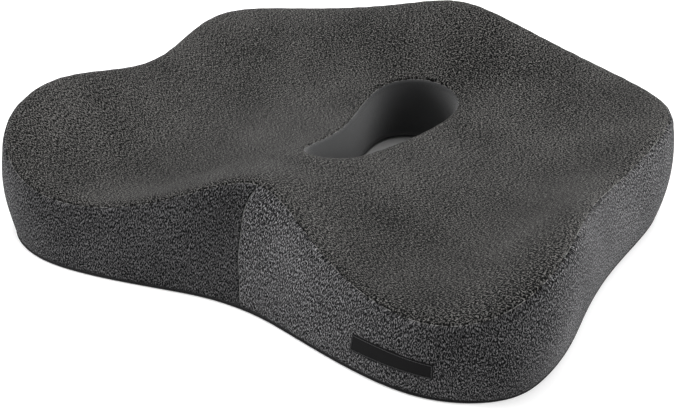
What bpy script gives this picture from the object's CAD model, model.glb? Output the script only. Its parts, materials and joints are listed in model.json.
import json
import math

import bpy
import numpy as np
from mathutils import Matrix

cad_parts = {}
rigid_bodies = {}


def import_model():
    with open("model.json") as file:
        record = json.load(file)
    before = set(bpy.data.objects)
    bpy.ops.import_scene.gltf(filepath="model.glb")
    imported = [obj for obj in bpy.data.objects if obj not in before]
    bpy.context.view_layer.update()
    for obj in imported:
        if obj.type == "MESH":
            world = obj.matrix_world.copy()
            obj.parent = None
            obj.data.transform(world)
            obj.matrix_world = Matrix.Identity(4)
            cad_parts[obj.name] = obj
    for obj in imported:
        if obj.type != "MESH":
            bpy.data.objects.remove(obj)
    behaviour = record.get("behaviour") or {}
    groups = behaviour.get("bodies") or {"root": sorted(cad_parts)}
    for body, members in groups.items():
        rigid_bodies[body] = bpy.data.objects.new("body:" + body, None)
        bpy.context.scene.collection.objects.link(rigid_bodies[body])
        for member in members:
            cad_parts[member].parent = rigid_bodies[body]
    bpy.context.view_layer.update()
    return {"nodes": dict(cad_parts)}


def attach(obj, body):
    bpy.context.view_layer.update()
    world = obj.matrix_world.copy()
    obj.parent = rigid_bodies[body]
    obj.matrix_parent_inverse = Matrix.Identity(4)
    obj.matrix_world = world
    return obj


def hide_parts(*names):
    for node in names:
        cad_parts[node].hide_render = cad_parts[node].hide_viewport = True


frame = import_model()
RNG = np.random.default_rng(7)

# ------------------------------------------------------------------ shape data, millimetres
RIM = [
    (0.0, -120.15, 80.0), (38.4, -130.95, 70.7), (93.9, -154.25, 52.8), (158.6, -167.15, 48.1),
    (207.0, -156.45, 63.0), (228.4, -126.15, 83.5), (227.0, -84.45, 92.6), (217.6, -40.75, 85.6),
    (212.0, 0.35, 75.6), (212.2, 40.05, 73.2), (214.8, 79.05, 77.8), (210.0, 114.85, 81.0),
    (186.8, 144.45, 80.1), (142.0, 166.35, 81.1), (84.5, 178.15, 90.1), (35.0, 180.85, 103.3),
    (0.0, 180.75, 109.2),
]
BASE = [
    (0.0, -157.95), (34.3, -161.15), (89.9, -173.45), (160.7, -180.25),
    (209.5, -158.85), (224.6, -126.15), (224.3, -83.95), (217.1, -40.75),
    (212.3, 1.05), (211.8, 40.45), (212.2, 78.65), (207.0, 112.95),
    (186.1, 144.85), (142.4, 169.05), (84.3, 176.35), (34.9, 179.65),
    (0.0, 180.35),
]
HOLE = [
    (0.0, -48.75, 69.2), (9.4, -45.85, 68.3), (16.7, -37.25, 65.7), (20.9, -23.45, 61.8),
    (22.9, -5.55, 57.4), (24.8, 15.25, 53.3), (28.3, 37.65, 50.4), (33.3, 60.05, 49.4),
    (37.5, 80.85, 50.3), (37.7, 98.85, 52.7), (31.3, 112.55, 55.6), (17.9, 121.15, 58.0),
    (0.0, 124.15, 58.9),
]
HEIGHTS = np.array([
    [70.2, 69.0, 65.4, 60.3, 54.8, 50.0, 46.9, 46.0, 47.6, 51.3, 56.0],
    [74.3, 72.7, 68.1, 61.7, 55.1, 49.9, 47.1, 47.2, 50.2, 55.6, 61.8],
    [77.6, 75.4, 69.3, 61.2, 53.6, 48.6, 47.5, 50.3, 56.0, 63.1, 70.2],
    [79.5, 76.3, 67.7, 57.4, 49.8, 46.8, 49.1, 56.0, 65.4, 74.5, 80.8],
    [80.1, 75.1, 64.6, 54.4, 47.4, 46.0, 51.4, 62.5, 75.5, 85.5, 89.5],
    [77.2, 72.8, 63.1, 53.2, 46.1, 45.0, 52.7, 67.1, 82.9, 92.4, 92.5],
    [73.2, 69.8, 61.5, 52.4, 45.9, 45.1, 53.0, 68.5, 85.5, 92.7, 90.0],
    [68.9, 66.2, 59.3, 51.6, 46.0, 45.8, 53.1, 67.8, 83.5, 87.6, 84.3],
    [61.8, 60.7, 56.1, 50.4, 45.9, 46.1, 53.6, 66.6, 78.8, 80.7, 78.4],
    [55.8, 55.1, 52.4, 49.0, 45.8, 46.5, 53.1, 64.3, 74.1, 75.4, 74.2],
    [52.3, 51.2, 49.1, 46.9, 45.6, 47.2, 52.8, 63.1, 72.2, 73.3, 72.5],
    [51.1, 49.9, 48.1, 46.6, 46.9, 50.0, 56.5, 66.0, 73.9, 74.6, 73.3],
    [52.0, 50.7, 50.3, 50.2, 51.2, 55.4, 62.6, 71.0, 77.5, 77.8, 75.9],
    [52.7, 53.8, 56.9, 58.6, 59.8, 63.5, 69.4, 75.8, 80.4, 80.6, 78.6],
    [67.8, 69.2, 71.2, 71.6, 71.6, 72.9, 75.8, 79.1, 81.1, 81.1, 79.8],
    [94.8, 93.0, 89.2, 85.3, 82.2, 80.6, 80.1, 80.2, 80.2, 80.2, 79.6],
    [110.7, 107.0, 99.8, 93.0, 87.8, 84.0, 81.5, 80.1, 79.5, 79.5, 79.2],
    [108.0, 105.5, 100.0, 94.2, 89.1, 85.1, 82.3, 80.6, 79.7, 79.4, 79.1],
    [104.0, 102.5, 98.7, 94.2, 89.8, 86.2, 83.4, 81.5, 80.4, 79.7, 79.3]
])
GRID, GRID_Y0 = 26.0, -229.15
ZIP_R = 900.0
ZIP_CY = 180.35 - ZIP_R
ZIP_Z = 19.0
ZIP_HALF = math.radians(8.6)
SLOT_Z = (13.5, 24.5)
HOLE_MID = 37.65
EDGE_R = 12.0      # roundness of the rim, its seam half way round it
HOLE_R = 5.0       # roundness of the hole's upper edge
K45 = math.sqrt(0.5)


# ------------------------------------------------------------------ curves and heights
def mirrored(half):
    return np.array(list(half) + [(-p[0],) + tuple(p[1:]) for p in half[-2:0:-1]], float)


def loop_spline(pts):
    """Smooth closed curve through pts, as a function of the point number."""
    n = len(pts)
    a = np.zeros((n, n))
    for i in range(n):
        a[i, i] = 4.0
        a[i, (i - 1) % n] = a[i, (i + 1) % n] = 1.0
    m = np.linalg.solve(a, 6.0 * (np.roll(pts, -1, 0) - 2 * pts + np.roll(pts, 1, 0)))

    def f(u):
        u = np.asarray(u, float) % n
        i = np.floor(u).astype(int) % n
        t = (u - np.floor(u))[..., None]
        j = (i + 1) % n
        b = 1.0 - t
        return b * pts[i] + t * pts[j] + ((b ** 3 - b) * m[i] + (t ** 3 - t) * m[j]) / 6.0

    return f


def natural_dense(y, k):
    """Natural cubic spline through rows of y at unit spacing, k samples to a step."""
    n = len(y)
    a = np.eye(n)
    d = np.zeros_like(y)
    for i in range(1, n - 1):
        a[i, i - 1], a[i, i], a[i, i + 1] = 1.0, 4.0, 1.0
        d[i] = 6.0 * (y[i - 1] - 2 * y[i] + y[i + 1])
    m = np.linalg.solve(a, d)
    u = np.linspace(0, n - 1, (n - 1) * k + 1)
    i = np.minimum(u.astype(int), n - 2)
    t = (u - i)[:, None]
    b = 1.0 - t
    return b * y[i] + t * y[i + 1] + ((b ** 3 - b) * m[i] + (t ** 3 - t) * m[i + 1]) / 6.0


full = np.concatenate([HEIGHTS[:, :0:-1], HEIGHTS], 1)
DENSE = natural_dense(natural_dense(full, 13).T, 13).T
X0 = -GRID * (HEIGHTS.shape[1] - 1)
STEP = GRID / 13.0


def seat_height(x, y):
    gx = np.clip((x - X0) / STEP, 0, DENSE.shape[1] - 2.001)
    gy = np.clip((y - GRID_Y0) / STEP, 0, DENSE.shape[0] - 2.001)
    i, j = gx.astype(int), gy.astype(int)
    a, b = gx - i, gy - j
    return ((1 - b) * ((1 - a) * DENSE[j, i] + a * DENSE[j, i + 1])
            + b * ((1 - a) * DENSE[j + 1, i] + a * DENSE[j + 1, i + 1]))


def smooth(x):
    x = np.clip(x, 0.0, 1.0)
    return x * x * (3 - 2 * x)


rim_f, base_f, hole_f = loop_spline(mirrored(RIM)), loop_spline(mirrored(BASE)), loop_spline(mirrored(HOLE))
NU, NH = 2 * (len(RIM) - 1), 2 * (len(HOLE) - 1)
ud = np.linspace(0, NU, 6401)
sd = np.concatenate([[0], np.cumsum(np.linalg.norm(np.diff(rim_f(ud), axis=0), axis=1))])
S_ALL = sd[-1]
hd = np.linspace(0, NH, 3201)
shd = np.concatenate([[0], np.cumsum(np.linalg.norm(np.diff(hole_f(hd), axis=0), axis=1))])

# columns: distance round the rim, finer beside the front centre seam
near = [0.0, 0.5, 1.0, 1.8, 3.0, 5.0, 8.0]
half_len = S_ALL / 2
n_far = int((half_len - 12.0) / 4.1)
half_cols = near + list(np.linspace(12.0, half_len, n_far))
COLS = np.array(half_cols + [S_ALL - s for s in half_cols[-2:0:-1]])
NC = len(COLS)


def plan_normal(f, u, n):
    e = 1e-3 * n
    d = f(u + e)[:, :2] - f(u - e)[:, :2]
    d /= np.linalg.norm(d, axis=1)[:, None]
    return np.stack([d[:, 1], -d[:, 0]], 1)


def column_data(s):
    u = np.interp(s % S_ALL, sd, ud)
    h = np.interp((s % S_ALL) / S_ALL * shd[-1], shd, hd)
    return rim_f(u), base_f(u), hole_f(h), plan_normal(rim_f, u, NU), plan_normal(hole_f, h, NH), u / NU


R, B, H, RN, HN, FR = column_data(COLS)
back = np.abs(FR - 0.5)
REAR = 1.0 - smooth((back - 0.112) / 0.035)      # 1 across the rear, 0 at the sides and front
rim_poly = rim_f(np.linspace(0, NU, 900, endpoint=False))[:, :2]
hole_poly = hole_f(np.linspace(0, NH, 400, endpoint=False))[:, :2]


def dist_to(poly, p):
    """Plan distance from points to a closed polyline."""
    out = np.empty(len(p))
    a = poly
    b = np.roll(poly, -1, 0)
    ab = b - a
    l2 = (ab ** 2).sum(1)
    for k in range(0, len(p), 2000):
        q = p[k:k + 2000, None, :]
        t = np.clip(((q - a) * ab).sum(2) / l2, 0, 1)
        out[k:k + 2000] = np.sqrt((((a + ab * t[..., None]) - q) ** 2).sum(2)).min(1)
    return out


# ------------------------------------------------------------------ top panel
near_hole = np.array([0, .5, 1.0, 1.8, 3.0, 4.5, 6.5, 9.0, 13.0, 18.0])
near_rim = np.array([0, .5, 1.0, 1.8, 3.0, 4.5, 6.2, 8.5, 12.0, 16.0, 21.0])
N_MID = 16


def top_surface():
    line = R[:, :2] - H[:, :2]
    length = np.linalg.norm(line, axis=1)
    rows, drow = [], []
    for a in near_hole:
        rows.append(a / length)
    for k in range(1, N_MID + 1):
        a = near_hole[-1] + (length - near_hole[-1] - near_rim[-1]) * k / (N_MID + 1)
        rows.append(a / length)
    for b in near_rim[::-1]:
        rows.append(1.0 - b / length)
    w = np.array(rows)
    p = H[None, :, :2] + w[..., None] * line[None]
    flat = p.reshape(-1, 2)
    dr = dist_to(rim_poly, flat).reshape(w.shape)
    dh = dist_to(hole_poly, flat).reshape(w.shape)
    dr[-1], dh[0] = 0.0, 0.0
    z = seat_height(p[..., 0], p[..., 1])
    z += (R[:, 2] - z[-1])[None] * (1 - smooth(dr / 45.0))
    z += (H[:, 2] - z[0])[None] * (1 - smooth(dh / 30.0))
    k = K45 * EDGE_R
    arc = np.where(dr < k, EDGE_R - np.sqrt(np.maximum(EDGE_R ** 2 - (k - dr) ** 2, 0)), 0.0)
    lift = (1 - K45) * EDGE_R * (1 - smooth((dr - k) / 55.0))
    z += lift - arc
    q = K45 * HOLE_R
    z -= np.where(dh < q, HOLE_R - np.sqrt(np.maximum(HOLE_R ** 2 - (q - dh) ** 2, 0)), 0.0)
    z += (1 - K45) * HOLE_R * (1 - smooth((dh - q) / 25.0))
    return np.concatenate([p, z[..., None]], 2), dr, dh


TOP, TOP_DR, TOP_DH = top_surface()
SEAM_Z = TOP[-1, :, 2].copy()
HSEAM_Z = TOP[0, :, 2].copy()

# ------------------------------------------------------------------ side band
lower_rows = np.array([30.0, 27.2, 24.5, 21.75, 19.0, 16.25, 13.5, 10.5, 7.5, 4.5, 2.6, 1.25])
lean = ((B[:, :2] - R[:, :2]) * RN).sum(1) / SEAM_Z
phi_end = np.pi / 2 - np.arctan(np.clip(lean, -0.1, 0.6))


def band_surface():
    pts, dist = [], []
    arc_total = EDGE_R * (phi_end - np.pi / 4)
    arcs = [np.zeros(NC), np.full(NC, .5), np.full(NC, 1.0), np.full(NC, 1.8)]
    arcs += [1.8 + (arc_total - 1.8) * f for f in (0.25, 0.5, 0.75, 1.0)]
    for a in arcs:
        phi = np.pi / 4 + a / EDGE_R
        o = EDGE_R * (np.sin(phi) - K45)
        z = SEAM_Z - EDGE_R * (K45 - np.cos(phi))
        pts.append(np.column_stack([R[:, :2] + RN * o[:, None], z]))
        dist.append(a)
    tw, zw = pts[-1][:, :2], pts[-1][:, 2]
    zs = [zw + (lower_rows[0] - zw) * k / 9.0 for k in range(1, 9)] + [np.full(NC, v) for v in lower_rows]
    side = smooth((np.abs(RN[:, 0]) - 0.25) / 0.5)
    for z in zs:
        f = z / zw
        bulge = (1.4 + 3.4 * side) * np.sin(np.pi * np.clip(f, 0, 1)) ** 0.85 * (1 - REAR)
        tuck = -0.7 * np.clip((4.0 - z) / 2.8, 0, 1) ** 2
        p = B[:, :2] + (tw - B[:, :2]) * f[:, None] + RN * (bulge + tuck)[:, None]
        pts.append(np.column_stack([p, z]))
        dist.append(arc_total + (zw - z))
    # the front centre seam wanders a little from top to foot
    pts = np.array(pts)
    f = pts[..., 2] / SEAM_Z
    wander = np.interp(f, [0, 0.25, 0.4, 0.75, 0.87, 0.97, 1.0], [6.2, 1.4, -2.6, -5.8, -4.4, 0.0, 0.0])
    away = np.minimum(COLS, S_ALL - COLS)
    pts[..., 0] += wander * (1 - smooth(away / 48.0))[None]
    return pts, np.array(dist)


BAND, BAND_D = band_surface()


# ------------------------------------------------------------------ sleeve and base
def sleeve_surface():
    pts, dist = [], []
    downs = [0, .5, 1.0, 1.8, 3.0, 5.0]
    zs = [HSEAM_Z - d for d in downs] + [HSEAM_Z - 5.0 + (2.4 - HSEAM_Z + 5.0) * k / 10.0 for k in range(1, 11)]
    mid = np.array([0.0, HOLE_MID])
    for z in zs:
        s = 1.0 + 0.08 * (1.0 - z / HSEAM_Z)
        p = mid + (H[:, :2] - mid) * s[:, None]
        drop = np.clip(HSEAM_Z - z, 0, K45 * HOLE_R)
        turn = np.sqrt(np.maximum(HOLE_R ** 2 - (K45 * HOLE_R - drop) ** 2, 0)) - K45 * HOLE_R
        p -= HN * (turn + 0.6 * np.sin(np.pi * np.clip(z / HSEAM_Z, 0, 1)))[:, None]
        pts.append(np.column_stack([p, z]))
        dist.append(HSEAM_Z - z)
    return np.array(pts), np.array(dist)


SLEEVE, SLEEVE_D = sleeve_surface()


def base_surface(z, rows=22):
    inner = np.array([0.0, HOLE_MID]) + (H[:, :2] - np.array([0.0, HOLE_MID])) * 1.08
    outer = B[:, :2] - RN * 0.6
    w = np.linspace(0, 1, rows)[:, None, None]
    p = inner[None] * (1 - w) + outer[None] * w
    return np.concatenate([p, np.full(p.shape[:2] + (1,), z)], 2)


BASE_P = base_surface(1.0)


# ------------------------------------------------------------------ mesh building
def add_object(name, verts, faces, uvs=None, smooth_faces=True):
    me = bpy.data.meshes.new(name)
    me.from_pydata([tuple(v) for v in np.asarray(verts) / 1000.0], [], faces)
    if uvs is not None:
        layer = me.uv_layers.new(name="cloth")
        layer.data.foreach_set("uv", np.asarray(uvs, np.float32).ravel())
    me.polygons.foreach_set("use_smooth", [smooth_faces] * len(me.polygons))
    me.update()
    ob = bpy.data.objects.new(name, me)
    bpy.context.scene.collection.objects.link(ob)
    return ob


def grid_object(name, p, closed, uv=None, flip=False, skip=None, wrap_rows=False):
    """Quad sheet from a grid of points; uv has one more column than p if closed."""
    nr, nc = p.shape[:2]
    faces, uvs = [], []
    for i in range(nr if wrap_rows else nr - 1):
        i2 = (i + 1) % nr
        for j in range(nc if closed else nc - 1):
            if skip is not None and skip(i, j):
                continue
            j2 = (j + 1) % nc
            quad = [i * nc + j, i * nc + j2, i2 * nc + j2, i2 * nc + j]
            if uv is not None:
                c = [uv[i, j], uv[i, j + 1], uv[i2, j + 1], uv[i2, j]]
            if flip:
                quad.reverse()
                if uv is not None:
                    c.reverse()
            faces.append(quad)
            if uv is not None:
                uvs.extend(c)
    return add_object(name, p.reshape(-1, 3), faces, uvs if uv is not None else None)


def grid_normals(p, closed, sign=1.0):
    du = np.roll(p, -1, 1) - np.roll(p, 1, 1) if closed else np.gradient(p, axis=1)
    dv = np.gradient(p, axis=0)
    n = np.cross(du, dv) * sign
    return n / np.maximum(np.linalg.norm(n, axis=2), 1e-9)[..., None]


def drop_loose(ob):
    import bmesh
    bm = bmesh.new()
    bm.from_mesh(ob.data)
    bmesh.ops.delete(bm, geom=[v for v in bm.verts if not v.link_faces], context="VERTS")
    bm.to_mesh(ob.data)
    bm.free()


def apply_modifiers(ob):
    bpy.context.view_layer.update()
    dg = bpy.context.evaluated_depsgraph_get()
    me = bpy.data.meshes.new_from_object(ob.evaluated_get(dg), preserve_all_data_layers=True, depsgraph=dg)
    old = ob.data
    ob.modifiers.clear()
    ob.data = me
    bpy.data.meshes.remove(old)


def thicken(ob, mm):
    m = ob.modifiers.new("cloth thickness", "SOLIDIFY")
    m.thickness, m.offset, m.use_even_offset = mm / 1000.0, -1.0, False
    m.use_rim = True
    apply_modifiers(ob)


# ------------------------------------------------------------------ padding by cloth simulation
col_pick = [0] + [i for i in range(6, NC - 5) if (i - 6) % 2 == 0]
col_pick = [i for i in col_pick if i <= NC - 6 or i == 0]
top_pick = [0, 5, 7, 8, 9] + list(range(11, 10 + N_MID, 2)) + [10 + N_MID, 27, 28, 29, 31, 36]
top_pick = sorted(set(i for i in top_pick if i < len(TOP)))
if top_pick[-1] != len(TOP) - 1:
    top_pick.append(len(TOP) - 1)
band_pick = [0, 5, 7, 9, 11, 13, 15, 17, 19, 21, 23, 25, 27]
band_pick = sorted(set([i for i in band_pick if i < len(BAND)] + [len(BAND) - 1]))
sleeve_pick = [0, 5, 7, 9, 11, 13, 15]
base_pick = [0, 3, 6, 9, 12, 15, 18, 21]


def simulate_padding():
    """Inflate the sewn cover with pressure, seams and base held, and return each panel's displacement."""
    rows, pins, where = [], [], []

    def take(p, idx, panel, pinned):
        for i in idx:
            rows.append(p[i][col_pick])
            pins.append(i in pinned)
            where.append((panel, i))

    take(TOP, top_pick, "top", (0, len(TOP) - 1))
    take(BAND, band_pick[1:], "band", (len(BAND) - 1,))
    take(BASE_P[::-1], base_pick, "base", range(22))
    take(SLEEVE[::-1], [len(SLEEVE) - 1 - i for i in sleeve_pick[::-1]][:-1], "sleeve", (0,))
    body = np.array(rows)
    ob = grid_object("sim_body", body, True, wrap_rows=True, flip=True)
    nc = len(col_pick)
    vg = ob.vertex_groups.new(name="held")
    vg.add([i * nc + j for i, pin in enumerate(pins) if pin for j in range(nc)], 1.0, "REPLACE")
    mod = ob.modifiers.new("Cloth", "CLOTH")
    st = mod.settings
    st.vertex_group_mass = "held"
    st.quality = 6
    st.mass = 0.3
    st.tension_stiffness = st.compression_stiffness = 18.0
    st.shear_stiffness = 8.0
    st.bending_stiffness = 1.5
    st.use_pressure = True
    st.uniform_pressure_force = 4.0
    st.effector_weights.gravity = 0.0
    mod.collision_settings.use_collision = False
    mod.point_cache.frame_start, mod.point_cache.frame_end = 1, 20
    scene = bpy.context.scene
    for f in range(1, 21):
        scene.frame_set(f)
    dg = bpy.context.evaluated_depsgraph_get()
    ev = ob.evaluated_get(dg)
    co = np.empty(len(ob.data.vertices) * 3, np.float32)
    ev.data.vertices.foreach_get("co", co)
    moved = co.reshape(body.shape).astype(float) * 1000.0 - body
    scene.frame_set(1)
    bpy.data.objects.remove(ob, do_unlink=True)
    size = np.linalg.norm(moved, axis=2)
    print("cloth: moved up to %.2f mm, mean %.2f mm" % (size.max(), size.mean()))
    cap = 3.0
    moved *= (cap * np.tanh(size / cap) / np.maximum(size, 1e-6))[..., None]
    out = {}
    for panel, p, pick, dist in (("top", TOP, top_pick, None), ("band", BAND, band_pick, BAND_D), ("sleeve", SLEEVE, sleeve_pick, SLEEVE_D)):
        field = np.zeros((len(pick), len(col_pick), 3))
        for k, (name, i) in enumerate(where):
            if name == "sleeve" == panel:
                i = len(SLEEVE) - 1 - i
            if name == panel and i in pick:
                field[pick.index(i)] = moved[k]
        # across the columns, then down the rows
        sc = np.append(COLS[col_pick], S_ALL)
        wide = np.zeros((len(pick), NC, 3))
        for r in range(len(pick)):
            for a in range(3):
                wide[r, :, a] = np.interp(COLS, sc, np.append(field[r, :, a], field[r, 0, a]))
        step = np.linalg.norm(np.diff(p, axis=0), axis=2).mean(1)
        along = np.concatenate([[0], np.cumsum(step)])
        got = np.zeros(p.shape)
        for j in range(NC):
            for a in range(3):
                got[:, j, a] = np.interp(along, along[pick], wide[:, j, a])
        for _ in range(50):
            got = 0.5 * got + 0.25 * (np.roll(got, 1, 1) + np.roll(got, -1, 1))
            inner = 0.5 * got[1:-1] + 0.25 * (got[2:] + got[:-2])
            got[1:-1] = inner
        out[panel] = got
    return out


PAD = simulate_padding()
if PAD is not None:
    TOP = TOP + PAD["top"]
    hold = 1 - REAR[None, :, None] * smooth((45.0 - BAND[..., 2:3]) / 12.0)
    BAND = BAND + PAD["band"] * hold
    BAND[-3:, :, 2] = np.minimum(BAND[-3:, :, 2], lower_rows[-3:, None])
    SLEEVE = SLEEVE + PAD["sleeve"] * 0.5
# slow unevenness of hand-fitted cloth over foam
gx, gy = TOP[..., 0], TOP[..., 1]
TOP[..., 2] += 0.22 * np.sin(gx / 23.0 + 0.7 * np.sin(gy / 31.0)) * np.sin(gy / 27.0 + 1.3) * smooth(TOP_DR / 25) * smooth(TOP_DH / 20)


# ------------------------------------------------------------------ seams pull the cloth in
def groove(d, depth, width=0.75):
    return -depth * np.exp(-(d / width) ** 2)


def ridge(d, h, at=1.9, width=0.8):
    return h * np.exp(-((d - at) / width) ** 2)


tn = grid_normals(TOP, True, 1.0)
bn = grid_normals(BAND, True, -1.0)
sn = grid_normals(SLEEVE, True, 1.0)
tn *= np.sign(tn[20, 20, 2])
out = np.sign((bn[15, :, :2] * RN).sum(1).mean())
bn *= out
out = np.sign((sn[8, :, :2] * HN).sum(1).mean())
sn *= -out
rim_dir = tn[-1] + bn[0]
rim_dir /= np.linalg.norm(rim_dir, axis=1)[:, None]
hole_dir = tn[0] + sn[0]
hole_dir /= np.linalg.norm(hole_dir, axis=1)[:, None]
RIM_SEAM = TOP[-1].copy()
HOLE_SEAM = TOP[0].copy()
along_top = np.linalg.norm(np.diff(TOP, axis=0), axis=2)
from_hole = np.concatenate([np.zeros((1, NC)), np.cumsum(along_top, 0)])
from_rim = from_hole[-1] - from_hole
TOP = TOP + tn * (groove(from_rim, 0.0) + ridge(from_rim, 0.12) + ridge(from_hole, 0.10))[..., None]
TOP = TOP + rim_dir[None] * groove(from_rim, 1.15)[..., None] + hole_dir[None] * groove(from_hole, 0.8)[..., None]
BAND = BAND + rim_dir[None] * groove(BAND_D, 1.15)[..., None] + bn * ridge(BAND_D, 0.22)[..., None]
front_d = np.minimum(COLS, S_ALL - COLS)
fade = smooth((BAND[..., 2] - 2.0) / 4.0)
# the sewn edges pucker a little between stitches
wave = np.zeros(NC)
for cycles in (83, 97, 111, 61):
    wave += 0.09 * np.sin(2 * np.pi * cycles * COLS / S_ALL + RNG.uniform(0, 6.28))
TOP = TOP + tn * (wave[None] * np.exp(-from_rim / 7.0) * smooth(from_rim / 2.0))[..., None]
BAND = BAND + bn * (wave[None] * np.exp(-BAND_D / 8.0) * smooth(BAND_D / 2.0))[..., None]
hole_wave = 0.10 * np.sin(2 * np.pi * 29 * COLS / S_ALL + 1.0) + 0.08 * np.sin(2 * np.pi * 41 * COLS / S_ALL)
TOP = TOP + tn * (hole_wave[None] * np.exp(-from_hole / 6.0) * smooth(from_hole / 2.0))[..., None]
BAND = BAND + bn * (groove(front_d, 0.95)[None] * fade + np.where(COLS < S_ALL / 2, ridge(front_d, 0.28), ridge(front_d, 0.10))[None])[..., None]
SLEEVE = SLEEVE + hole_dir[None] * groove(SLEEVE_D, 0.8)[..., None]

# ------------------------------------------------------------------ cover pieces
uv_top = TOP[..., :2]
uv_top = np.concatenate([uv_top, uv_top[:, :1]], 1)
top = grid_object("cover_top_cloth", TOP, True, uv_top, flip=False)
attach(top, "cushion")

# the band is an open strip whose two ends meet at the front centre
strip = np.concatenate([BAND, BAND[:, :1]], 1)
s_ext = np.append(COLS, S_ALL)
uv_band = np.stack([np.broadcast_to(s_ext, strip.shape[:2]), strip[..., 2]], 2)
e = np.array([0.12, 0, 0])
strip[:, 0] += e
strip[:, -1] -= e
row_of = {v: len(BAND) - len(lower_rows) + k for k, v in enumerate(lower_rows)}
i_hi, i_lo = row_of[24.5], row_of[13.5]
slot_cols = np.where((np.abs(np.arctan2(strip[i_hi, :, 0], strip[i_hi, :, 1] - ZIP_CY)) < ZIP_HALF + 0.001) & (strip[i_hi, :, 1] > 0))[0]


def in_slot(i, j):
    return i_hi <= i < i_lo and slot_cols[0] <= j < slot_cols[-1]


band = grid_object("cover_side_cloth", strip, False, uv_band, flip=False, skip=in_slot)
drop_loose(band)
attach(band, "cushion")

shs = np.append(np.interp(COLS / S_ALL * shd[-1], shd, shd), shd[-1])
uv_sl = np.stack([np.broadcast_to(shs, (len(SLEEVE), NC + 1)), np.concatenate([SLEEVE[..., 2], SLEEVE[:, :1, 2]], 1)], 2)
sleeve = grid_object("cover_hole_cloth", SLEEVE, True, uv_sl, flip=True)
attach(sleeve, "cushion")

uv_b = np.concatenate([BASE_P[..., :2], BASE_P[:, :1, :2]], 1)
base = grid_object("cover_base_cloth", BASE_P, True, uv_b, flip=True)
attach(base, "cushion")


def fix_winding(ob, want):
    """Turn the sheet over if its faces look the wrong way: want is a function of centre, giving the outward side."""
    tot = 0.0
    for p in list(ob.data.polygons)[::37]:
        tot += p.normal.dot(want(p.center))
    if tot < 0:
        ob.data.flip_normals()


from mathutils import Vector

fix_winding(top, lambda c: Vector((0, 0, 1)))
fix_winding(band, lambda c: Vector((c.x, c.y, 0)))
fix_winding(sleeve, lambda c: Vector((-c.x, HOLE_MID / 1000 - c.y, 0)))
fix_winding(base, lambda c: Vector((0, 0, -1)))
for ob, t in ((top, 1.2), (band, 1.2), (sleeve, 1.2), (base, 0.9)):
    thicken(ob, t)
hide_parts("cover_top_panel")
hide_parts("cover_side_band")
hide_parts("cover_hole_sleeve")
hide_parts("cover_base_panel")


# ------------------------------------------------------------------ places on the band
def on_band(s, z):
    """Point and outward normal on the band's face, at a distance round the rim and a height."""
    s = np.atleast_1d(np.asarray(s, float)) % S_ALL
    z = np.atleast_1d(np.asarray(z, float))
    ext = np.concatenate([BAND, BAND[:, :1]], 1)
    extn = np.concatenate([bn, bn[:, :1]], 1)
    j = np.clip(np.searchsorted(s_ext, s, side="right") - 1, 0, NC - 1)
    f = (s - s_ext[j]) / (s_ext[j + 1] - s_ext[j])
    pos, nrm = [], []
    for a in range(len(s)):
        col = ext[:, j[a]] * (1 - f[a]) + ext[:, j[a] + 1] * f[a]
        cn = extn[:, j[a]] * (1 - f[a]) + extn[:, j[a] + 1] * f[a]
        zz = col[::-1, 2]
        pos.append([np.interp(z[a], zz, col[::-1, k]) for k in range(3)])
        nrm.append([np.interp(z[a], zz, cn[::-1, k]) for k in range(3)])
    nrm = np.array(nrm)
    return np.array(pos), nrm / np.linalg.norm(nrm, axis=1)[:, None]


def tube(points, radius, closed=False, sides=8, radii=None, name=None):
    """Vertices and faces of a round cord along points, ends capped."""
    p = np.asarray(points, float)
    n = len(p)
    t = np.roll(p, -1, 0) - np.roll(p, 1, 0) if closed else np.gradient(p, axis=0)
    t /= np.linalg.norm(t, axis=1)[:, None]
    ref = np.array([0.0, 0.0, 1.0])
    a = np.cross(t, ref)
    weak = np.linalg.norm(a, axis=1) < 0.3
    a[weak] = np.cross(t[weak], np.array([1.0, 0.0, 0.0]))
    a /= np.linalg.norm(a, axis=1)[:, None]
    b = np.cross(a, t)
    rr = np.full(n, radius) if radii is None else np.asarray(radii)
    ang = np.linspace(0, 2 * np.pi, sides, endpoint=False)
    v = (p[:, None] + rr[:, None, None] * (np.cos(ang)[None, :, None] * a[:, None] + np.sin(ang)[None, :, None] * b[:, None])).reshape(-1, 3)
    faces = []
    for i in range(n if closed else n - 1):
        i2 = (i + 1) % n
        for k in range(sides):
            k2 = (k + 1) % sides
            faces.append([i * sides + k, i * sides + k2, i2 * sides + k2, i2 * sides + k])
    if not closed:
        faces.append(list(range(sides))[::-1])
        faces.append([(n - 1) * sides + k for k in range(sides)])
    return v, faces


def merge(parts):
    verts, faces, off = [], [], 0
    for v, f in parts:
        verts.append(v)
        faces.extend([[i + off for i in q] for q in f])
        off += len(v)
    return np.concatenate(verts), faces


def outward(ob):
    import bmesh
    bm = bmesh.new()
    bm.from_mesh(ob.data)
    bmesh.ops.recalc_face_normals(bm, faces=bm.faces[:])
    bm.to_mesh(ob.data)
    bm.free()


def piece(name, parts, nodes, body="cushion", smooth_faces=True):
    v, f = merge(parts)
    ob = add_object(name, v, f, None, smooth_faces)
    outward(ob)
    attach(ob, body)
    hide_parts(*nodes)
    return ob


def resample(p, step, closed):
    q = np.concatenate([p, p[:1]]) if closed else np.asarray(p)
    d = np.concatenate([[0], np.cumsum(np.linalg.norm(np.diff(q, axis=0), axis=1))])
    n = max(2, int(round(d[-1] / step)))
    t = np.linspace(0, d[-1], n + 1)
    out = np.stack([np.interp(t, d, q[:, k]) for k in range(q.shape[1])], 1)
    return (out[:-1], t[:-1]) if closed else (out, t)


def stitched_cord(points, r, closed, pitch=3.0, step=0.75):
    """Sewing thread: full between its needle holes, pinched at each."""
    p, t = resample(points, step, closed)
    wave = np.abs(np.sin(np.pi * t / pitch))
    return tube(p, r, closed, 6, radii=r * (0.45 + 0.55 * wave ** 0.5))


rim_line = RIM_SEAM - rim_dir * 0.62


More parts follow.
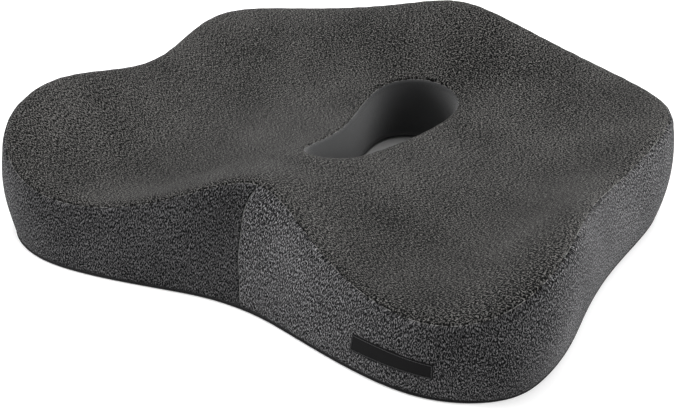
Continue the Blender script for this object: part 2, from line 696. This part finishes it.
def stitch_row(points, r, length=2.6, gap=0.7, dip=0.35, down=None):
    """A closed line of separate stitches, each arched between its two needle holes."""
    p, t = resample(points, (length + gap) / 5.0, True)
    d, _ = resample(np.asarray(down), (length + gap) / 5.0, True) if down is not None else (None, None)
    parts = []
    n = len(p) // 5
    sink = np.array([1.0, 0.25, 0.0, 0.25, 1.0]) * dip
    for k in range(n):
        i = (np.arange(5) + 5 * k) % len(p)
        q = p[i].copy()
        if down is not None:
            j = np.minimum((i * len(down)) // len(p), len(down) - 1)
            q -= down[j] * sink[:, None]
        parts.append(tube(q, r, False, 6, radii=np.array([0.55, 0.95, 1.0, 0.95, 0.55]) * r))
    return parts


piece("rim_seam_stitches", stitch_row(resample(rim_line, 0.66, True)[0], 0.36), ["rim_seam_thread"])
hole_line = HOLE_SEAM - hole_dir * 0.55
piece("hole_seam_stitches", stitch_row(resample(hole_line, 0.66, True)[0], 0.28), ["hole_seam_thread"])
front_rows = [i for i in range(1, len(BAND) - 2)]
front_line = (BAND[front_rows, 0] + bn[front_rows, 0] * 0.38)
piece("front_seam_stitches", [stitched_cord(front_line, 0.55, False)], ["front_seam_thread"])
edge_line = BAND[front_rows, 2] + bn[front_rows, 2] * 0.1
edge_line = np.array([p + (q - p) * 0.9 for p, q in zip(BAND[front_rows, 1], BAND[front_rows, 2])]) + bn[front_rows, 2] * 0.16
piece("front_seam_edge", [stitched_cord(edge_line, 0.36, False, 2.4)], ["front_seam_thread"])

# black binding along the foot of the band
prof = [(-2.4, 0.45), (-0.9, 0.18), (-0.2, 0.15), (0.25, 0.3), (0.48, 0.65), (0.45, 1.05), (0.2, 1.38), (-0.2, 1.5), (-0.9, 1.45), (-1.6, 1.2)]
ring = np.array([np.column_stack([B[:, :2] + RN * o, np.full(NC, z)]) for o, z in prof])
ob = grid_object("base_binding_tape", ring, True, wrap_rows=True)
outward(ob)
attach(ob, "cushion")
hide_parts("base_binding")
binding = ob

# stitches on the underside, just inside the edge
under = np.column_stack([B[:, :2] - RN * 4.6, np.full(NC, 0.72)])
pu, tu = resample(under, 0.95, True)
parts = []
for k in range(0, len(pu) - 4, 4):
    parts.append(tube(pu[k:k + 4], 0.3, False, 6, radii=[0.14, 0.3, 0.3, 0.14]))
base_stitch = piece("base_edge_stitches", parts, ["base_seam_thread"])

# ------------------------------------------------------------------ grip dots
cad = frame["nodes"]["grip_dots"].data
co = np.array([v.co[:] for v in cad.vertices]) * 1000.0
key = {}
for x, y, z in co:
    key.setdefault((round(x / 23.0 * 2), round((y + 1.15) / (23.0 * math.sqrt(3) / 2))), []).append((x, y))
dot_parts = []
ang = np.linspace(0, 2 * np.pi, 20, endpoint=False)
for k in sorted(key):
    c = (np.min(key[k], 0) + np.max(key[k], 0)) / 2
    rings, zz = [4.0, 3.95, 3.7, 3.2, 2.2, 1.0], [1.0, 0.55, 0.25, 0.08, 0.0, 0.0]
    v = [(c[0] + r * math.cos(a), c[1] + r * math.sin(a), z) for r, z in zip(rings, zz) for a in ang]
    f = []
    for i in range(len(rings) - 1):
        for m in range(20):
            m2 = (m + 1) % 20
            f.append([i * 20 + m, i * 20 + m2, (i + 1) * 20 + m2, (i + 1) * 20 + m])
    f.append(list(range(20)))
    f.append([(len(rings) - 1) * 20 + m for m in range(20)])
    dot_parts.append((np.array(v), f))
dots = piece("grip_dot_domes", dot_parts, ["grip_dots"])
print("grip dots:", len(dot_parts))

# ------------------------------------------------------------------ woven label, blank
front_half = COLS < S_ALL * 0.2
sx = COLS[front_half]
xs = np.array([np.interp(18.3, BAND[::-1, j, 2], BAND[::-1, j, 0]) for j in np.where(front_half)[0]])
s0, s1 = np.interp(110.0, xs, sx), np.interp(173.3, xs, sx)
z0, z1 = 13.0, 23.6


def label_point(a, b, lift):
    low, high = z0 + 2.2 * a, z1 + 0.9 + 0.6 * a
    p, n = on_band(s0 + (s1 - s0) * a, low + (high - low) * b)
    return p + n * np.asarray(lift)[:, None]


na, nb = 66, 16
aa, bb = np.meshgrid(np.linspace(0, 1, na), np.linspace(0, 1, nb))
edge = np.minimum(np.minimum(aa, 1 - aa) * (s1 - s0), np.minimum(bb, 1 - bb) * (z1 - z0))
lift = 0.45 + 0.5 * smooth(edge / 1.2)
lp = label_point(aa.ravel(), bb.ravel(), lift.ravel()).reshape(nb, na, 3)
uvl = np.stack([aa * (s1 - s0), bb * (z1 - z0)], 2)
label = grid_object("side_label_patch", lp, False, uvl)
fix_winding(label, lambda c: Vector((c.x, c.y, 0)))
thicken(label, 0.7)
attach(label, "cushion")
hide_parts("side_label")
W, Hh = s1 - s0, z1 - z0
m = 1.0
corners = [(m, m), (W - m, m), (W - m, Hh - m), (m, Hh - m)]
loop = []
for k in range(4):
    a, b = np.array(corners[k]), np.array(corners[(k + 1) % 4])
    n = max(2, int(np.linalg.norm(b - a) / 0.7))
    loop += [a + (b - a) * i / n for i in range(n)]
loop = np.array(loop)
lb = label_point(loop[:, 0] / W, loop[:, 1] / Hh, np.full(len(loop), 0.98))
lst = piece("side_label_border", [stitched_cord(lb, 0.22, True, 2.0, 0.5)], ["label_stitching"])


# ------------------------------------------------------------------ zip
def zip_point(theta, r, z):
    theta, r, z = np.broadcast_arrays(theta, r, z)
    return np.stack([r * np.sin(theta), ZIP_CY + r * np.cos(theta), z], -1)


def coil(side):
    parts = []
    pitch = 1.5 / ZIP_R
    n = int(2 * (ZIP_HALF - 0.003) / pitch)
    shift = 0.5 * pitch if side < 0 else 0.0
    for k in range(n):
        th = -ZIP_HALF + 0.003 + k * pitch + shift
        h = np.array([3.3, 3.1, 2.2, 0.6, -0.6, -1.0]) * side
        rad = np.array([-0.75, -0.15, 0.1, 0.1, 0.0, -0.35])
        parts.append(tube(zip_point(np.full(6, th), ZIP_R - 1.75 + rad, ZIP_Z + h), 0.42, False, 6,
                          radii=[0.3, 0.42, 0.42, 0.42, 0.46, 0.3]))
    # the coil's return side, sewn along the tape
    th = np.linspace(-ZIP_HALF + 0.003, ZIP_HALF - 0.003, 180)
    parts.append(tube(zip_point(th, ZIP_R - 2.35, ZIP_Z + side * 3.0), 0.4, False, 8))
    return parts


piece("zip_coil_teeth_upper", coil(1), ["zipper_coil_upper"])
piece("zip_coil_teeth_lower", coil(-1), ["zipper_coil_lower"])

zs_parts = []
s_mid = S_ALL / 2
span = ZIP_R * math.sin(ZIP_HALF) + 4.0
for zz in (SLOT_Z[1] + 2.3, SLOT_Z[0] - 2.3):
    ss = np.arange(s_mid - span, s_mid + span, 0.95)
    p, n = on_band(ss, np.full(len(ss), zz))
    for k in range(0, len(ss) - 4, 4):
        zs_parts.append(tube(p[k:k + 4] + n[k:k + 4] * 0.18, 0.28, False, 6, radii=[0.12, 0.28, 0.28, 0.12]))
zip_stitch = piece("zip_tape_stitches", zs_parts, ["zipper_stitching"])


# ------------------------------------------------------------------ foam inside the cover
def inset_body(mm):
    rows = [TOP[i] - tn[i] * mm for i in (2, 5, 8, 11, 14, 17, 20, 23, 26, 29, 32, 34)]
    theta = np.degrees(np.abs(np.arctan2(BAND[..., 0], BAND[..., 1] - ZIP_CY)))
    zipped = (BAND[..., 1] > 0) * (1 - smooth((theta - 9.2) / 3.0)) * (1 - smooth((BAND[..., 2] - 33.0) / 10.0))
    inside = BAND - bn * mm
    inside[..., :2] -= RN[None] * (6.0 * zipped)[..., None]
    rows += [inside[i] for i in (6, 8, 10, 12, 14, 15, 16, 18, 20, 22, 24, 25)]
    last = inside[26].copy()
    last[:, :2] -= RN * 2.0
    last[:, 2] = 2.6
    rows += [last]
    inner = np.array([0.0, HOLE_MID]) + (H[:, :2] - np.array([0.0, HOLE_MID])) * 1.08
    rows += [np.column_stack([inner + HN * (mm + 3.0), np.full(NC, 2.6)])]
    rows += [SLEEVE[i] - sn[i] * mm for i in (13, 11, 8, 5, 3)]
    return np.array(rows)


foam_rows = inset_body(3.4)
foam = grid_object("foam_block", foam_rows[:, ::2], True, wrap_rows=True)
outward(foam)
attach(foam, "cushion")
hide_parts("foam_core")


# ------------------------------------------------------------------ materials
class Nodes:
    def __init__(self, name):
        self.mat = bpy.data.materials.new(name)
        self.mat.use_nodes = True
        self.t = self.mat.node_tree
        self.t.nodes.clear()
        self.out = self.t.nodes.new("ShaderNodeOutputMaterial")
        self.bsdf = self.t.nodes.new("ShaderNodeBsdfPrincipled")
        self.t.links.new(self.bsdf.outputs[0], self.out.inputs[0])

    def new(self, kind, **kw):
        n = self.t.nodes.new(kind)
        for k, v in kw.items():
            if k.startswith("in_"):
                n.inputs[k[3:].replace("_", " ")].default_value = v
            else:
                setattr(n, k, v)
        return n

    def link(self, a, b):
        self.t.links.new(a, b)

    def math(self, op, a, b=None, c=None, clamp=False):
        n = self.t.nodes.new("ShaderNodeMath")
        n.operation = op
        n.use_clamp = clamp
        for i, x in enumerate((a, b, c)):
            if x is None:
                continue
            if isinstance(x, (int, float)):
                n.inputs[i].default_value = x
            else:
                self.link(x, n.inputs[i])
        return n.outputs[0]

    def ramp(self, fac, stops, interp="LINEAR"):
        n = self.t.nodes.new("ShaderNodeValToRGB")
        n.color_ramp.interpolation = interp
        e = n.color_ramp.elements
        while len(e) < len(stops):
            e.new(0.5)
        for k, (p, c) in enumerate(stops):
            e[k].position = p
            e[k].color = tuple(c) + (1.0,) if len(c) == 3 else tuple(c)
        self.link(fac, n.inputs[0])
        return n.outputs[0]

    def mix(self, fac, a, b, blend="MIX"):
        n = self.t.nodes.new("ShaderNodeMix")
        n.data_type = "RGBA"
        n.blend_type = blend
        for x, sock in ((fac, n.inputs[0]), (a, n.inputs[6]), (b, n.inputs[7])):
            if isinstance(x, (int, float)):
                sock.default_value = x
            elif isinstance(x, tuple):
                sock.default_value = x if len(x) == 4 else x + (1.0,)
            else:
                self.link(x, sock)
        return n.outputs[2]

    def coords(self, scale, source="UV", rot=0.0):
        tc = self.t.nodes.new("ShaderNodeTexCoord")
        mp = self.t.nodes.new("ShaderNodeMapping")
        mp.inputs["Scale"].default_value = scale
        mp.inputs["Rotation"].default_value = (0, 0, rot)
        self.link(tc.outputs[source], mp.inputs["Vector"])
        return mp.outputs[0]

    def noise(self, vec, scale, detail=2.0, rough=0.5, dims="3D"):
        n = self.t.nodes.new("ShaderNodeTexNoise")
        n.noise_dimensions = dims
        n.inputs["Scale"].default_value = scale
        n.inputs["Detail"].default_value = detail
        n.inputs["Roughness"].default_value = rough
        self.link(vec, n.inputs["Vector"])
        return n.outputs[0]

    def bump(self, height, dist, strength=1.0, normal=None):
        n = self.t.nodes.new("ShaderNodeBump")
        n.inputs["Strength"].default_value = strength
        n.inputs["Distance"].default_value = dist
        self.link(height, n.inputs["Height"])
        if normal is not None:
            self.link(normal, n.inputs["Normal"])
        return n.outputs[0]

    def set(self, **kw):
        for k, v in kw.items():
            sock = self.bsdf.inputs[k.replace("_", " ")]
            if hasattr(v, "is_linked") or isinstance(v, bpy.types.NodeSocket):
                self.link(v, sock)
            else:
                sock.default_value = v
        return self.mat


def melange(name, dark, mid, light, grain, tint, sheen=0.04, nap=None):
    """Melange knit in cloth millimetres: dark and light yarn specks drawn out along the knit, loop rows, and a soft bloom."""
    k = Nodes(name)
    uv = k.coords((1, 1, 1))
    bend = k.t.nodes.new("ShaderNodeTexNoise")
    bend.noise_dimensions = "2D"
    bend.inputs["Scale"].default_value = 0.16
    k.link(uv, bend.inputs["Vector"])
    warp = k.t.nodes.new("ShaderNodeVectorMath")
    warp.operation = "MULTIPLY_ADD"
    k.link(bend.outputs[1], warp.inputs[0])
    warp.inputs[1].default_value = (2.5, 2.5, 0)
    k.link(uv, warp.inputs[2])

    def streak(sx, sy, rot=0.0):
        mp = k.t.nodes.new("ShaderNodeMapping")
        mp.inputs["Scale"].default_value = (sx, sy, 1)
        mp.inputs["Rotation"].default_value = (0, 0, rot)
        k.link(warp.outputs[0], mp.inputs["Vector"])
        return k.noise(mp.outputs[0], 1.0, 1.0, 0.42, "2D")

    a = streak(grain[0], grain[1])
    b = streak(grain[0] * 1.25, grain[1] * 1.25, 0.55)
    c = streak(grain[0] * 1.25, grain[1] * 1.25, -0.55)
    d = streak(2.6, 2.6, 0.3)
    v = k.math("ADD", k.math("MULTIPLY", a, 0.30), k.math("MULTIPLY", b, 0.26))
    v = k.math("ADD", v, k.math("ADD", k.math("MULTIPLY", c, 0.26), k.math("MULTIPLY", d, 0.18)))
    slow = k.noise(uv, 0.018, 2.0, 0.5, "2D")
    v = k.math("ADD", v, k.math("MULTIPLY", k.math("SUBTRACT", slow, 0.5), 0.05))
    col = k.ramp(v, [(0.43, dark), (0.49, mid), (0.51, mid), (0.58, light)])
    col = k.mix(k.math("MULTIPLY", slow, 0.12), col, tint, "MIX")
    # single fibres inside each speck
    fibre = streak(grain[0] * 2.6, grain[1] * 2.6, 0.2)
    fuzz = streak(5.0, 5.0, 0.9)
    body = k.math("ADD", k.math("MULTIPLY", fibre, 1.5), k.math("MULTIPLY", fuzz, 0.9))
    body = k.math("MAXIMUM", k.math("SUBTRACT", body, 0.17), 0.15)
    grey = k.t.nodes.new("ShaderNodeCombineXYZ")
    for i in range(3):
        k.link(body, grey.inputs[i])
    col = k.mix(1.0, col, grey.outputs[0], "MULTIPLY")
    # loop rows of the knit
    loops = k.t.nodes.new("ShaderNodeTexWave")
    loops.wave_type, loops.bands_direction = "BANDS", "X"
    loops.inputs["Scale"].default_value = 0.36
    loops.inputs["Distortion"].default_value = 1.2
    loops.inputs["Detail"].default_value = 1.0
    k.link(uv, loops.inputs["Vector"])
    cross = k.t.nodes.new("ShaderNodeTexWave")
    cross.wave_type, cross.bands_direction = "BANDS", "Y"
    cross.inputs["Scale"].default_value = 0.30
    cross.inputs["Distortion"].default_value = 1.0
    k.link(uv, cross.inputs["Vector"])
    knit = k.math("MULTIPLY", loops.outputs[1], cross.outputs[1])
    h = k.math("ADD", k.math("MULTIPLY", v, 1.0), k.math("MULTIPLY", knit, 0.25))
    h = k.math("ADD", h, k.math("MULTIPLY", body, 0.18))
    n = k.bump(h, 0.0005, 0.7)
    col = k.mix(k.math("MULTIPLY", k.math("SUBTRACT", 1.0, knit), 0.12), col, (0.0, 0.0, 0.0), "MIX")
    if nap:
        # the pile lies differently round the wall, so it takes the light unevenly
        sep = k.t.nodes.new("ShaderNodeSeparateXYZ")
        k.link(uv, sep.inputs[0])
        lie = k.ramp(k.math("DIVIDE", sep.outputs[0], S_ALL), [(p / S_ALL if p >= 0 else 1 + p / S_ALL, (q / 1.6,) * 3) for p, q in nap], "EASE")
        col = k.mix(1.0, col, k.mix(1.0, lie, (1.6, 1.6, 1.6), "MULTIPLY"), "MULTIPLY")
    return k.set(Base_Color=col, Roughness=0.95, Specular_IOR_Level=0.06, Normal=n,
                 Sheen_Weight=sheen, Sheen_Roughness=0.4, Sheen_Tint=(0.75, 0.76, 0.78, 1.0))


m_top = melange("knit_melange_top", (0.002, 0.002, 0.002), (0.011, 0.0108, 0.0105), (0.176, 0.171, 0.165), (0.62, 1.38), (0.020, 0.0195, 0.019))
m_band = melange("knit_melange_band", (0.002, 0.002, 0.0022), (0.016, 0.0158, 0.0165), (0.226, 0.223, 0.229), (1.22, 0.60), (0.026, 0.0255, 0.027),
                 nap=[(0, 1.50), (70, 1.40), (150, 1.08), (200, 0.72), (240, 0.62), (300, 0.98), (-240, 1.0), (-185, 0.84), (-90, 0.77), (-0.01, 0.82)])


def plain_cloth(name, a, b, scale, bump, rough=0.9, sheen=0.15, source="UV", weave=1.0):
    k = Nodes(name)
    uv = k.coords((1, 1, 1) if source == "UV" else (1000, 1000, 1000), source)
    w = []
    for d in ("X", "Y"):
        n = k.t.nodes.new("ShaderNodeTexWave")
        n.wave_type, n.bands_direction = "BANDS", d
        n.inputs["Scale"].default_value = scale
        n.inputs["Distortion"].default_value = 0.6
        k.link(uv, n.inputs["Vector"])
        w.append(n.outputs[1])
    weave_h = k.math("MULTIPLY", w[0], w[1])
    speck = k.noise(uv, 0.8, 3.0, 0.6)
    slow = k.noise(uv, 0.03, 2.0, 0.5)
    col = k.mix(k.math("ADD", k.math("MULTIPLY", speck, 0.7), k.math("MULTIPLY", weave_h, 0.3 * weave)), a, b)
    col = k.mix(k.math("MULTIPLY", slow, 0.25), col, a)
    h = k.math("ADD", k.math("MULTIPLY", weave_h, weave), k.math("MULTIPLY", speck, 0.5))
    return k.set(Base_Color=col, Roughness=rough, Specular_IOR_Level=0.2, Normal=k.bump(h, bump, 0.8),
                 Sheen_Weight=sheen, Sheen_Roughness=0.5)


m_sleeve = plain_cloth("sleeve_jersey", (0.016, 0.016, 0.017), (0.044, 0.045, 0.046), 0.45, 0.0003, sheen=0.3)
m_base = plain_cloth("base_cloth", (0.010, 0.010, 0.011), (0.028, 0.028, 0.030), 0.35, 0.0004)
m_bind = plain_cloth("binding_tape", (0.004, 0.004, 0.0045), (0.014, 0.014, 0.015), 0.5, 0.0002, source="Object", sheen=0.05)
m_thread = plain_cloth("sewing_thread", (0.045, 0.045, 0.046), (0.12, 0.12, 0.12), 1.2, 0.0001, source="Object", sheen=0.1)
m_black_thread = plain_cloth("black_thread", (0.012, 0.012, 0.013), (0.034, 0.034, 0.036), 1.2, 0.0001, source="Object", rough=0.55)
m_tape = plain_cloth("zip_tape_weave", (0.008, 0.008, 0.009), (0.026, 0.026, 0.028), 0.6, 0.0002, source="Object", rough=0.75)


def label_cloth():
    k = Nodes("label_satin")
    uv = k.coords((1, 1, 1))
    w = k.t.nodes.new("ShaderNodeTexWave")
    w.wave_type, w.bands_direction = "BANDS", "Y"
    w.inputs["Scale"].default_value = 0.8
    w.inputs["Distortion"].default_value = 0.8
    w.inputs["Detail"].default_value = 2.0
    k.link(uv, w.inputs["Vector"])
    speck = k.noise(k.coords((2.2, 0.6, 1)), 0.9, 2.0, 0.6)
    col = k.mix(speck, (0.0015, 0.0015, 0.0017), (0.007, 0.007, 0.0075))
    return k.set(Base_Color=col, Roughness=k.math("ADD", 0.6, k.math("MULTIPLY", speck, 0.2)), Specular_IOR_Level=0.10,
                 Normal=k.bump(k.math("ADD", w.outputs[1], speck), 0.00012, 0.6))


m_label = label_cloth()


def rubber():
    k = Nodes("grip_rubber")
    v = k.coords((1000, 1000, 1000), "Object")
    s = k.noise(v, 1.1, 3.0, 0.6)
    wear = k.noise(v, 0.08, 2.0, 0.5)
    col = k.mix(wear, (0.012, 0.012, 0.012), (0.030, 0.030, 0.031))
    return k.set(Base_Color=col, Roughness=k.math("ADD", 0.5, k.math("MULTIPLY", s, 0.25)), Normal=k.bump(s, 0.00008, 0.6))


def nylon():
    k = Nodes("zip_nylon")
    v = k.coords((1000, 1000, 1000), "Object")
    s = k.noise(v, 2.0, 2.0, 0.5)
    return k.set(Base_Color=k.mix(s, (0.010, 0.010, 0.011), (0.028, 0.028, 0.030)), Roughness=0.38, Normal=k.bump(s, 0.00004, 0.5))


def lacquer():
    k = Nodes("zip_lacquered_metal")
    v = k.coords((1000, 1000, 1000), "Object")
    s = k.noise(v, 1.6, 4.0, 0.6)
    rub = k.noise(v, 0.45, 3.0, 0.65)
    worn = k.ramp(rub, [(0.60, (0, 0, 0)), (0.72, (1, 1, 1))])
    col = k.mix(k.math("MULTIPLY", worn, 0.35), k.mix(s, (0.012, 0.012, 0.013), (0.024, 0.024, 0.026)), (0.30, 0.29, 0.28))
    return k.set(Base_Color=col, Metallic=k.math("MULTIPLY", worn, 0.5), Roughness=k.math("ADD", 0.26, k.math("MULTIPLY", s, 0.2)),
                 Coat_Weight=0.3, Normal=k.bump(s, 0.00003, 0.4))


def foam_cells():
    k = Nodes("foam_open_cell")
    v = k.coords((1000, 1000, 1000), "Object")
    vor = k.t.nodes.new("ShaderNodeTexVoronoi")
    vor.inputs["Scale"].default_value = 0.9
    k.link(v, vor.inputs["Vector"])
    s = k.noise(v, 0.05, 2.0, 0.5)
    col = k.mix(s, (0.80, 0.77, 0.68), (0.87, 0.85, 0.79))
    return k.set(Base_Color=col, Roughness=0.95, Normal=k.bump(vor.outputs[0], 0.0003, 0.7), Subsurface_Weight=0.05)


def seam_yarn(name, dark, light, share):
    """Sewing thread that shows light on top of its stitches and dark where it dives into the cloth."""
    k = Nodes(name)
    v = k.coords((1000, 1000, 1000), "Object")
    s = k.noise(v, 0.33, 1.0, 0.5)
    fuzz = k.noise(v, 2.4, 2.0, 0.6)
    col = k.mix(k.ramp(s, [(share - 0.05, (0, 0, 0)), (share + 0.05, (1, 1, 1))]), dark, light)
    col = k.mix(k.math("MULTIPLY", fuzz, 0.5), col, (0.01, 0.01, 0.01))
    return k.set(Base_Color=col, Roughness=0.85, Specular_IOR_Level=0.1, Normal=k.bump(fuzz, 0.0001, 0.6))


m_rim_yarn = seam_yarn("rim_seam_yarn", (0.005, 0.005, 0.005), (0.30, 0.297, 0.29), 0.47)
m_dark_yarn = seam_yarn("dark_seam_yarn", (0.003, 0.003, 0.003), (0.012, 0.012, 0.012), 0.5)
m_light_edge = seam_yarn("seam_edge_yarn", (0.10, 0.10, 0.10), (0.22, 0.22, 0.215), 0.45)
m_rubber, m_nylon, m_metal, m_foam = rubber(), nylon(), lacquer(), foam_cells()


def dress(ob, mat):
    ob.data.materials.clear()
    ob.data.materials.append(mat)


D = bpy.data.objects
dress(top, m_top)
dress(band, m_band)
dress(sleeve, m_sleeve)
dress(base, m_base)
dress(binding, m_bind)
dress(D["rim_seam_stitches"], m_rim_yarn)
dress(D["hole_seam_stitches"], m_rim_yarn)
dress(D["front_seam_stitches"], m_dark_yarn)
dress(D["front_seam_edge"], m_light_edge)
dress(zip_stitch, m_black_thread)
dress(base_stitch, m_black_thread)
dress(lst, m_black_thread)
dress(label, m_label)
dress(dots, m_rubber)
dress(foam, m_foam)
dress(D["zip_coil_teeth_upper"], m_nylon)
dress(D["zip_coil_teeth_lower"], m_nylon)
for node, mat in (("zipper_tape_upper", m_tape), ("zipper_tape_lower", m_tape), ("zipper_slider", m_metal),
                  ("zipper_pull", m_metal), ("zipper_end_stops", m_metal)):
    ob = frame["nodes"][node]
    if ob.material_slots:
        for sl in ob.material_slots:
            sl.material = mat
    else:
        ob.data.materials.append(mat)

# ------------------------------------------------------------------ stage
bpy.ops.mesh.primitive_plane_add(size=14.0, location=(0, 0, -0.0002))
floor = bpy.context.object
floor.name = "floor"
kf = Nodes("floor_white")
kf.set(Base_Color=(0.93, 0.93, 0.93, 1.0), Roughness=0.9, Specular_IOR_Level=0.1,
       Emission_Color=(1.0, 1.0, 1.0, 1.0), Emission_Strength=0.22)
# the floor seen through the hole lies in the cushion's shade, so it does not glow there
where = kf.t.nodes.new("ShaderNodeNewGeometry")
away = kf.t.nodes.new("ShaderNodeVectorMath")
away.operation = "DISTANCE"
away.inputs[1].default_value = (0, HOLE_MID / 1000, 0)
kf.t.links.new(where.outputs["Position"], away.inputs[0])
lit = kf.math("GREATER_THAN", away.outputs["Value"], 0.115)
floor_bsdf = next(n for n in kf.t.nodes if n.type == "BSDF_PRINCIPLED")
kf.t.links.new(kf.math("MULTIPLY", lit, 0.22), floor_bsdf.inputs["Emission Strength"])
kf.t.links.new(kf.math("ADD", kf.math("MULTIPLY", lit, 0.53), 0.4), floor_bsdf.inputs["Base Color"])
floor.data.materials.append(kf.mat)


def area(name, loc, target, size, power, size_y=None):
    li = bpy.data.lights.new(name, "AREA")
    li.energy = power
    li.shape = "RECTANGLE"
    li.size, li.size_y = size, size_y or size
    ob = bpy.data.objects.new(name, li)
    bpy.context.scene.collection.objects.link(ob)
    ob.location = loc
    ob.rotation_mode = "QUATERNION"
    ob.rotation_quaternion = (Vector(target) - Vector(loc)).to_track_quat("-Z", "Y")
    return ob


area("left_softbox", (-1.7, -0.25, 0.6), (0, 0, 0.05), 1.1, 30.0, 0.9)
area("right_softbox", (1.7, 0.35, 0.7), (0, 0, 0.05), 1.2, 34.0, 0.9)
area("top_softbox", (-0.2, 0.5, 2.2), (0, 0, 0), 2.4, 46.0, 2.0)
world = bpy.data.worlds.new("studio")
world.use_nodes = True
bg = world.node_tree.nodes["Background"]
bg.inputs[0].default_value = (1.0, 1.0, 1.0, 1.0)
bg.inputs[1].default_value = 0.38
bpy.context.scene.world = world
bpy.context.scene.view_settings.view_transform = "Standard"
bpy.context.scene.view_settings.look = "None"

# ------------------------------------------------------------------ camera
AZ, EL, ROLL = math.radians(33.83), math.radians(30.28), -0.03705
FPX, TX, TY, DIST = 1355.92, -5.018, -0.889, 1073.44
bk = Vector((math.sin(AZ) * math.cos(EL), -math.cos(AZ) * math.cos(EL), math.sin(EL)))
rt = Vector((math.cos(AZ), math.sin(AZ), 0.0))
up = bk.cross(rt)
pos = (bk * DIST + rt * TX + up * TY) + Vector((0, 4.85, 0))
cam_data = bpy.data.cameras.new("camera")
cam_data.sensor_fit = "HORIZONTAL"
cam_data.sensor_width = 36.0
cam_data.lens = FPX / 679.0 * 36.0
cam_data.clip_start, cam_data.clip_end = 0.05, 50.0
# image = centre + principal offset + rotation of the view-plane point by ROLL
cr, sr = math.cos(ROLL), math.sin(ROLL)
right = rt * cr + up * sr
upv = up * cr - rt * sr
cam = bpy.data.objects.new("camera", cam_data)
bpy.context.scene.collection.objects.link(cam)
from mathutils import Matrix

mrot = Matrix((right, upv, bk)).transposed()
cam.matrix_world = Matrix.Translation(pos / 1000.0) @ mrot.to_4x4()
cam_data.shift_x = -10.54 / 679.0
cam_data.shift_y = -1.02 / 679.0
bpy.context.scene.camera = cam
